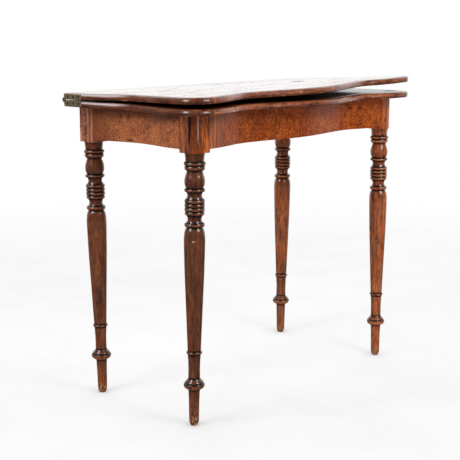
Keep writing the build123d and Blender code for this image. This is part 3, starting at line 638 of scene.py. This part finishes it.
def top_finish():
    """High polish of the closed top, with veins, patches of painted sheen and a burn."""
    woods, _, wear, _ = settings()
    made = Finish("top_polish")
    tint, pores = grain(made, "X", woods.top_dark, woods.top_mid, woods.top_light, **FACE_GRAIN)
    veins = made.ridge((3.2, 18, 18), 0.016)
    tint = made.lay(tint, woods.top_dark, veins, 0.7)
    # Patches of painted sheen
    tint = made.marks(tint, woods.top_light, 0.6, *TOP_PAINTED_SHEENS)
    worn = made.fade(made.noise((300, 300, 300), detail=4.0, rough=0.65), 0.36, 0.56)
    burn = made.spot(*TOP_BURN, ragged=0.75, grain=(70, 70, 70))
    burn = made.times(burn, made.line(worn, 0.5, 0.5))
    tint = made.lay(tint, BURN_BROWN, burn, 0.8)
    dull = made.noise((5, 22, 22), detail=4.0, rough=0.6, twist=0.4)
    rough = made.line(made.fade(dull, 0.40, 0.70), 0.10, 0.16)
    rough = made.line(made.math("MAXIMUM", veins, burn), 0.16, rough)
    rough = made.line(burn, 0.60, rough)
    ripple = made.noise((6, 14, 6), detail=2.0)
    bump = made.relief(ripple, 0.0004, made.relief(pores, wear.pores * 0.15))
    coat = made.line(made.fade(made.axis("X"), 0.0, -0.35), -0.03, 0.81)
    coat = made.line(veins, -0.40, coat)
    coat = made.times(coat, made.math("SUBTRACT", 1.0, burn))
    return made.shade(Base_Color=tint, Roughness=rough, Specular_IOR_Level=0.5, Coat_Weight=coat,
                      Coat_Roughness=0.06, Normal=bump)


def play_finish():
    """Darker polish of the faces that meet when the top is closed."""
    woods, _, wear, _ = settings()
    made = Finish("playing_polish")
    tint, pores = grain(made, "X", woods.play_dark, woods.play_mid, woods.play_light, **FACE_GRAIN)
    tint = made.marks(tint, woods.wax, 0.95, WAX_DROP)
    worn = made.noise((4, 9, 9), detail=4.0, rough=0.6, twist=0.4, move=(2, 2, 2))
    tint = made.lay(tint, woods.side_mid, made.fade(worn, 0.45, 0.80), 0.20)
    # A brighter red-brown patch of painted sheen inside the gap
    tint = made.marks(tint, woods.side_dark, 0.45, PLAY_PAINTED_SHEEN)
    smudge = made.spot(*PLAY_SMUDGE, ragged=0.5, grain=(120, 120, 120))
    right_end = made.fade(made.axis("X"), *RIGHT_END)
    gloss = made.times(right_end, made.line(smudge, -0.60, 0.68))
    return made.shade(Base_Color=tint, Roughness=0.45, Specular_IOR_Level=0.06, Coat_Weight=gloss,
                      Coat_Roughness=0.08, Normal=made.relief(pores, wear.pores * 0.2))


def pine_finish(name, letter, move):
    """Bare inner wood with age and dust."""
    woods, _, wear, _ = settings()
    made = Finish(name)
    tint, pores = grain(made, letter, woods.pine_dark, woods.pine_mid, woods.pine_light,
                        figure=70.0, streak=260.0, twist=0.4, move=move)
    grime = made.fade(made.noise((12, 12, 12), detail=4.0, rough=0.6, move=move), 0.42, 0.66)
    tint = made.lay(tint, woods.pine_dark, grime, 0.55)
    return made.shade(Base_Color=tint, Roughness=0.72, Specular_IOR_Level=0.25,
                      Normal=made.relief(pores, wear.pores * 2))


# Metals


def brass_finish():
    """Brass under a dark olive patina."""
    _, metals, _, _ = settings()
    made = Finish("patinated_brass_finish")
    clouds = made.noise((190, 190, 190), detail=5.0, rough=0.65)
    tint = made.ramp(clouds, (0.40, metals.patina), (0.62, metals.brass))
    bloom = made.fade(made.noise((90, 90, 90), rough=0.6, move=(4, 2, 1)), 0.55, 0.75)
    tint = made.lay(tint, metals.verdigris, bloom, 0.5)
    tint = made.lay(tint, metals.brass, made.convex(0.52, 0.58), 0.6)
    return made.shade(Base_Color=tint, Metallic=0.75, Roughness=made.line(clouds, -0.25, 0.60),
                      Normal=made.relief(clouds, 0.0002))


def iron_finish(name, rusty, tone):
    """Dark iron with a share of rust; tone darkens it."""
    _, metals, _, _ = settings()
    made = Finish(name)
    pits = made.noise((420, 420, 420), detail=4.0, rough=0.6)
    rust = made.fade(made.noise((120, 120, 120), detail=4.0, rough=0.6), 0.50, 0.68)
    tint = made.lay(Vector(metals.iron) * tone, metals.rust, rust, rusty)
    return made.shade(Base_Color=tint, Metallic=0.8, Roughness=0.55, Normal=made.relief(pits, 0.0002))


# Operators


class TableStep(bpy.types.Operator):
    """A step of the table's dressing"""
    bl_options = {"REGISTER", "UNDO"}

    @classmethod
    def poll(cls, context):
        return context.scene is not None


class GAMES_TABLE_OT_legs(TableStep):
    """Polish the four legs"""
    bl_idname = "games_table.legs"
    bl_label = "Polish legs"

    def execute(self, context):
        # Tone of the turned part and of the post, gloss, shift of the grain, and marks
        legs = {"front_left_leg": (0.94, 1.80, 0.95, (0, 0, 0), front_left_marks),
                "front_right_leg": (2.50, 1.95, 1.00, (2, 5, 1), front_right_marks),
                "back_left_leg": (1.15, 1.60, 0.80, (7, 1, 3), back_left_marks),
                "back_right_leg": (2.20, 1.80, 0.90, (4, 8, 6), None)}
        for name, (tone, post_tone, gloss, move, marks) in legs.items():
            made = leg_finish(f"{name}_polish", tone, post_tone, gloss, move)
            if marks:
                marks(made)
            dress([name], made.shade(Base_Color=made.tint))
        return {"FINISHED"}


class GAMES_TABLE_OT_veneers(TableStep):
    """Polish the veneers of the rails"""
    bl_idname = "games_table.veneers"
    bl_label = "Polish rail veneers"

    def execute(self, context):
        dress(["front_burr_veneer"], burr_finish())
        dress(["front_strip_veneer"], strip_finish())
        dress(["left_side_veneer", "right_side_veneer"], side_finish())
        return {"FINISHED"}


class GAMES_TABLE_OT_carcase(TableStep):
    """Age the inner woods of the frame"""
    bl_idname = "games_table.carcase"
    bl_label = "Age carcase"

    def execute(self, context):
        along_x = pine_finish("pine_along", "X", (0, 0, 0))
        along_y = pine_finish("pine_across", "Y", (3, 1, 2))
        dress(["front_rail", "back_rail", "well_bottom", "well_glue_blocks"], along_x)
        dress(["left_rail", "right_rail", "pivot_rail", "well_partition"], along_y)
        dress(["lower_leaf_core", "upper_leaf_core"], pine_finish("leaf_core", "X", (5, 5, 5)))
        dress(["turn_stop_peg"], pine_finish("peg_wood", "Z", (1, 1, 4)))
        return {"FINISHED"}


class GAMES_TABLE_OT_edges(TableStep):
    """Polish the edges of both leaves"""
    bl_idname = "games_table.edges"
    bl_label = "Polish leaf edges"

    def execute(self, context):
        # Shift of the grain, tone of the long edges and of the ends
        leaves = {"lower": ((0, 0, 0), 1.45, 0.62), "upper": ((2, 6, 3), 1.18, 0.68)}
        for leaf, (move, tone, end_tone) in leaves.items():
            long_edges = edge_finish(f"{leaf}_long_edge_polish", leaf, "X", move, tone)
            joint_marks(long_edges)
            end_edges = edge_finish(f"{leaf}_end_edge_polish", leaf, "Y", move, end_tone)
            painted_arris_highlight(end_edges)
            for made, sides in ((long_edges, ("front", "back")),
                                (end_edges, ("left_end", "right_end"))):
                material = made.shade(Base_Color=made.tint)
                dress([f"{leaf}_leaf_{side}_lipping" for side in sides], material)
        return {"FINISHED"}


class GAMES_TABLE_OT_faces(TableStep):
    """Polish the broad faces of the leaves"""
    bl_idname = "games_table.faces"
    bl_label = "Polish leaf faces"

    def execute(self, context):
        dress(["upper_leaf_top_veneer"], top_finish())
        dress(["upper_leaf_playing_veneer", "lower_leaf_playing_veneer"], play_finish())
        return {"FINISHED"}


class GAMES_TABLE_OT_metals(TableStep):
    """Patinate the hinges and the pivot"""
    bl_idname = "games_table.metals"
    bl_label = "Patinate metals"

    def execute(self, context):
        hinges = [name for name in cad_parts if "hinge" in name and "screws" not in name]
        pivot = ["pivot_iron", "pivot_bolt", "pivot_washer", "pivot_nut", "pivot_iron_screws"]
        screws = ["upper_hinge_screws", "lower_hinge_screws"]
        dress(hinges, brass_finish())
        dress(pivot, iron_finish("forged_iron_finish", rusty=0.7, tone=1.0))
        dress(screws, iron_finish("black_screw_finish", rusty=0.1, tone=0.25))
        return {"FINISHED"}


# Studio

CAMERA_PLACE = Vector((-2.1088, -1.7794, 0.9316))
CAMERA_YAW = math.radians(-48.72)
CAMERA_PITCH = math.radians(-11.12)
CAMERA_ROLL = math.radians(-0.17)
CAMERA_LENS = 85.07
SENSOR_WIDTH = 36.0
TOWARD_CAMERA = CAMERA_PLACE.xy.normalized().to_3d()

# Lights: bearing from the camera's side and elevation in degrees, places and sizes in metres
SOFTBOX_BEARINGS = {"softbox_left": -52.0, "softbox_right": 50.0}
SOFTBOX_ELEVATION = 36.0
SOFTBOX_AIM = (0.0, 0.0, 0.45)
REAR_BEARING, REAR_ELEVATION, REAR_DISTANCE = 180.0, 14.0, 2.6
REAR_WIDTH, REAR_HEIGHT = 3.2, 1.2
REAR_AIM = (0.0, 0.0, 0.75)

# Greys of the floor: as it throws light back, and as the eye sees its shadows
FLOOR_LIT, FLOOR_SHADOWED = (0.80, 0.80, 0.80), (0.30, 0.30, 0.30)
FLOOR_CORNERS = 96
# From the table's middle, shadows fade out between these distances
SHADOW_NEAR, SHADOW_FAR = 1.3, 3.0
# Glow of the floor beneath the eye: its least, what open floor adds, and what is taken off again; the
# glow falls near the feet as a painted contact shadow and towards the camera as painted shade
FLOOR_GLOW, OPEN_GLOW = 0.508, 0.26
PAINTED_FRONT_SHADE, CLOUD_DIMMING = -0.078, -0.025
PAINTED_CONTACT_SHADOW_REACH = 0.07
# Brightness of the room in mirrors on the camera's side, and where it turns white behind the table,
# in metres along the floor and as a share of the direction above it
ROOM_DIM = 0.06
ROOM_TURN_ON_FLOOR = (0.8, 2.6)
ROOM_TURN_IN_SKY = (0.20, 0.75)


def softbox(name, bearing, elevation, distance, width, height, power, aim):
    """A soft rectangular light; bearing is measured from the camera's side of the table."""
    side = math.radians(bearing) + math.atan2(CAMERA_PLACE.y, CAMERA_PLACE.x)
    rise = math.radians(elevation)
    flat = distance * math.cos(rise)
    away = Vector((flat * math.cos(side), flat * math.sin(side), distance * math.sin(rise)))
    lamp = bpy.data.lights.new(name, "AREA")
    lamp.shape = "RECTANGLE"
    lamp.size, lamp.size_y = width, height
    lamp.energy = power
    holder = bpy.data.objects.new(name, lamp)
    holder.location = Vector(aim) + away
    holder.rotation_euler = (-away).to_track_quat("-Z", "Y").to_euler()
    holder.visible_camera = False
    bpy.context.scene.collection.objects.link(holder)


def seen_by_eye(tree):
    """One where the eye sees a ray straight, mirrored or through glass; and one where straight."""
    rays = tree.nodes.new("ShaderNodeLightPath")
    straight = total = rays.outputs["Is Camera Ray"]
    for name in ("Is Glossy Ray", "Is Transmission Ray"):
        most = tree.nodes.new("ShaderNodeMath")
        most.operation = "MAXIMUM"
        tree.links.new(total, most.inputs[0])
        tree.links.new(rays.outputs[name], most.inputs[1])
        total = most.outputs[0]
    return total, straight


def choose(tree, amount, first, second):
    """The first shader where the amount is nothing, and the second where it is one."""
    mixed = tree.nodes.new("ShaderNodeMixShader")
    for socket, source in zip(mixed.inputs, (amount, first, second)):
        tree.links.new(source, socket)
    return mixed.outputs[0]


def room_level(tree, vector, low, high):
    """Brightness of the room in mirrors: dim on the camera's side and white behind the table."""
    behind = tree.nodes.new("ShaderNodeVectorMath")
    behind.operation = "DOT_PRODUCT"
    tree.links.new(vector, behind.inputs[0])
    behind.inputs[1].default_value = -TOWARD_CAMERA
    level = tree.nodes.new("ShaderNodeMapRange")
    level.interpolation_type = "SMOOTHSTEP"
    tree.links.new(behind.outputs["Value"], level.inputs["Value"])
    limits = {"From Min": low, "From Max": high, "To Min": ROOM_DIM, "To Max": 1.0}
    for name, value in limits.items():
        level.inputs[name].default_value = value
    return level.outputs[0]


def floor_finish():
    """A pale floor that is white far off and takes the table's faint shadow near it, with a painted
    contact shadow round the feet and painted shade towards the camera.
    """
    made = Finish("white_floor")
    made.tree.nodes.remove(made.shader)
    lit = made.node("ShaderNodeBsdfDiffuse", {"Color": FLOOR_LIT}).outputs[0]
    shadowed = made.node("ShaderNodeBsdfDiffuse", {"Color": FLOOR_SHADOWED}).outputs[0]
    # Painted contact shadow: the glow falls where the feet are near
    open_floor = made.node("ShaderNodeAmbientOcclusion", {"Distance": PAINTED_CONTACT_SHADOW_REACH}, samples=8)
    level = made.line(made.fade(open_floor.outputs["AO"], 0.50, 1.0), OPEN_GLOW, FLOOR_GLOW)
    # Painted shade: the glow falls towards the camera
    sockets = {0: made.place, 1: TOWARD_CAMERA}
    front = made.node("ShaderNodeVectorMath", sockets, operation="DOT_PRODUCT").outputs["Value"]
    level = made.line(made.fade(front, -0.40, 0.35), PAINTED_FRONT_SHADE, level)
    clouds = made.fade(made.noise((4, 4, 4), detail=5.0, rough=0.65, twist=0.5), 0.56, 0.36)
    level = made.line(clouds, CLOUD_DIMMING, level)
    near = made.node("ShaderNodeAddShader", {0: shadowed, 1: made.glow(level)}).outputs[0]
    away = made.node("ShaderNodeVectorMath", {0: made.place}, operation="LENGTH").outputs["Value"]
    seen = choose(made.tree, made.fade(away, SHADOW_FAR, SHADOW_NEAR), made.glow(1.0), near)
    mirrored = made.glow(room_level(made.tree, made.place, *ROOM_TURN_ON_FLOOR))
    eye, straight = seen_by_eye(made.tree)
    seen = choose(made.tree, straight, mirrored, seen)
    surface = made.tree.nodes["Material Output"].inputs["Surface"]
    made.tree.links.new(choose(made.tree, eye, lit, seen), surface)
    return made.material


class GAMES_TABLE_OT_studio(TableStep):
    """Lay the pale floor, the white surround and the soft lights"""
    bl_idname = "games_table.studio"
    bl_label = "Set up studio"

    def execute(self, context):
        studio = settings()[3]
        self.floor(studio.floor_radius)
        self.surround(studio.ambient)
        for name, bearing in SOFTBOX_BEARINGS.items():
            softbox(name, bearing, SOFTBOX_ELEVATION, studio.distance, studio.softbox_width,
                    studio.softbox_height, studio.softbox_power, SOFTBOX_AIM)
        softbox("rear_panel", REAR_BEARING, REAR_ELEVATION, REAR_DISTANCE, REAR_WIDTH, REAR_HEIGHT,
                studio.rear_power, REAR_AIM)
        return {"FINISHED"}

    def floor(self, radius):
        """A round flat floor under the table."""
        turns = [math.tau * i / FLOOR_CORNERS for i in range(FLOOR_CORNERS)]
        rim = [(radius * math.cos(turn), radius * math.sin(turn), 0.0) for turn in turns]
        mesh = bpy.data.meshes.new("floor")
        mesh.from_pydata(rim, [], [list(range(len(rim)))])
        floor = bpy.data.objects.new("floor", mesh)
        bpy.context.scene.collection.objects.link(floor)
        mesh.materials.append(floor_finish())

    def surround(self, ambient):
        """White where the eye looks past the table, and a plain even light."""
        world = bpy.data.worlds.new("white_studio")
        world.use_nodes = True
        bpy.context.scene.world = world
        tree = world.node_tree
        even = tree.nodes["Background"]
        white, room = (tree.nodes.new("ShaderNodeBackground") for _ in range(2))
        for background, strength in ((even, ambient), (white, 1.0), (room, 1.0)):
            background.inputs["Color"].default_value = (*WHITE, 1.0)
            background.inputs["Strength"].default_value = strength
        place = tree.nodes.new("ShaderNodeTexCoord").outputs["Generated"]
        tree.links.new(room_level(tree, place, *ROOM_TURN_IN_SKY), room.inputs["Strength"])
        eye, straight = seen_by_eye(tree)
        seen = choose(tree, straight, room.outputs[0], white.outputs[0])
        surface = tree.nodes["World Output"].inputs["Surface"]
        tree.links.new(choose(tree, eye, even.outputs[0], seen), surface)


class GAMES_TABLE_OT_camera(TableStep):
    """Place the camera at the photograph's view"""
    bl_idname = "games_table.camera"
    bl_label = "Place camera"

    def execute(self, context):
        lens = bpy.data.cameras.new("camera")
        lens.lens = CAMERA_LENS
        lens.sensor_width = SENSOR_WIDTH
        camera = bpy.data.objects.new("camera", lens)
        turn = (Matrix.Rotation(CAMERA_YAW, 3, "Z") @ Matrix.Rotation(CAMERA_PITCH, 3, "X")
                @ Matrix.Rotation(CAMERA_ROLL, 3, "Y"))
        matrix = Matrix((turn.col[0], turn.col[2], -turn.col[1])).transposed().to_4x4()
        matrix.translation = CAMERA_PLACE
        camera.matrix_world = matrix
        context.scene.collection.objects.link(camera)
        context.scene.camera = camera
        context.scene.view_settings.view_transform = "Standard"
        return {"FINISHED"}


class GAMES_TABLE_PT_steps(bpy.types.Panel):
    """The steps and settings of the table"""
    bl_label = "Games table"
    bl_idname = "GAMES_TABLE_PT_steps"
    bl_space_type = "VIEW_3D"
    bl_region_type = "UI"
    bl_category = "Games table"

    def draw(self, context):
        for step in STEPS:
            self.layout.operator(step.bl_idname)
        for group in settings():
            column = self.layout.column()
            for name in group.bl_rna.properties.keys():
                if name not in ("rna_type", "name"):
                    column.prop(group, name)


GROUPS = {"table_woods": WoodColours, "table_metals": MetalColours, "table_wear": Wear,
          "table_studio": Studio}
STEPS = (GAMES_TABLE_OT_camera, GAMES_TABLE_OT_studio, GAMES_TABLE_OT_legs,
         GAMES_TABLE_OT_veneers, GAMES_TABLE_OT_carcase, GAMES_TABLE_OT_edges,
         GAMES_TABLE_OT_faces, GAMES_TABLE_OT_metals)


def register():
    """Add the classes and the scene's settings."""
    for name, group in GROUPS.items():
        bpy.utils.register_class(group)
        setattr(bpy.types.Scene, name, PointerProperty(type=group))
    for step in (*STEPS, GAMES_TABLE_PT_steps):
        bpy.utils.register_class(step)


def unregister():
    """Take them out again."""
    for step in (GAMES_TABLE_PT_steps, *reversed(STEPS)):
        bpy.utils.unregister_class(step)
    for name, group in reversed(GROUPS.items()):
        delattr(bpy.types.Scene, name)
        bpy.utils.unregister_class(group)


def main():
    """Dress the table step by step."""
    register()
    for step in STEPS:
        family, name = step.bl_idname.split(".")
        getattr(getattr(bpy.ops, family), name)()


if __name__ == "__main__":
    main()
